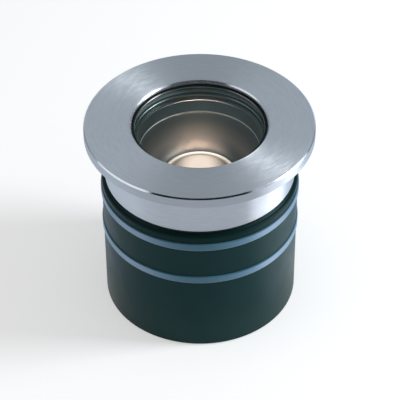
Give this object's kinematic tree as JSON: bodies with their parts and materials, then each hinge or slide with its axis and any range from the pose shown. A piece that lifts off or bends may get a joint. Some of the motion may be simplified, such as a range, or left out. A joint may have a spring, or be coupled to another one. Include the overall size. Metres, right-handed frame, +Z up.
{
  "type": "in ground well light",
  "caption": "Round recessed ground light: a wide flange and neck screw onto a cylindrical housing with two grip bands; a deep reflector sits below thick clear glass, a cable gland in the base.",
  "frame": {"origin": "centre of the foot, on the plane that the foot stands on", "axes": "+Z up along the housing's axis towards the glass; +Y towards the side where the cable gland sits"},
  "size_m": [0.11, 0.11, 0.1012],
  "materials": {
    "brushed_stainless": "turned and circularly brushed",
    "spring_steel": "plain",
    "clear_glass": "polished, toughened",
    "black_rubber": "matte",
    "band_rubber": "satin",
    "pale_plastic": "matte",
    "dark_anodised": "dark anodised, satin",
    "grey_anodised": "grey anodised, turned",
    "satin_reflector": "spun, satin",
    "bright_plastic": "gloss",
    "warm_lens": "frosted",
    "phosphor": "cast resin",
    "white_board": "white solder mask",
    "screw_steel": "plain",
    "pad_rubber": "matte",
    "bare_aluminium": "machined",
    "black_plastic": "fine texture",
    "green_board": "solder mask",
    "brass_screws": "plain",
    "blue_lead": "gloss",
    "red_lead": "gloss",
    "plated_brass": "nickel plated"
  },
  "bodies": {
    "root": {"housing": "dark_anodised", "bezel_seal": "black_rubber", "upper_band": "band_rubber", "lower_band": "band_rubber", "baffle_ring": "grey_anodised", "reflector": "satin_reflector", "lens_ring": "bright_plastic", "led_lens": "warm_lens", "led_emitter": "phosphor", "led_board": "white_board", "board_screws": "screw_steel", "thermal_pad": "pad_rubber", "heat_sink": "bare_aluminium", "sink_screws": "screw_steel", "driver_case": "black_plastic", "driver_board": "green_board", "driver_lid": "black_plastic", "driver_screws": "screw_steel", "terminal_block": "pale_plastic", "terminal_screws": "brass_screws", "supply_leads": "blue_lead", "led_leads": "red_lead", "earth_screw": "brass_screws", "gland_body": "plated_brass", "gland_o_ring": "black_rubber", "gland_lock_nut": "plated_brass"},
    "glass_pack": {"glass": "clear_glass", "glass_gasket": "black_rubber", "slip_ring": "pale_plastic"},
    "bezel_group": {"bezel": "brushed_stainless", "glass_ring": "spring_steel"},
    "gland_insert": {"gland_seal": "black_rubber"},
    "gland_nut_group": {"gland_nut": "plated_brass"}
  },
  "joints": [
    {"name": "bezel_rise", "type": "slide", "parent": "root", "child": "glass_pack", "axis": [0, 0, 1], "range_m": [0, 0.012]},
    {"name": "bezel_turn", "type": "hinge", "parent": "glass_pack", "child": "bezel_group", "pos_m": [0, 0, 0.084], "axis": [0, 0, 1], "range_deg": [0, 2160]},
    {"name": "gland_drop", "type": "slide", "parent": "root", "child": "gland_insert", "axis": [0, 0, -1], "range_m": [0, 0.003]},
    {"name": "gland_nut_turn", "type": "hinge", "parent": "gland_insert", "child": "gland_nut_group", "pos_m": [0, 0.024, 0.01], "axis": [0, 0, -1], "range_deg": [0, 1080]}
  ],
  "couplings": [
    {"joint": "bezel_rise", "follows": "bezel_turn", "m_per_rad": 0.00031831},
    {"joint": "gland_drop", "follows": "gland_nut_turn", "m_per_rad": 0.00015915}
  ]
}
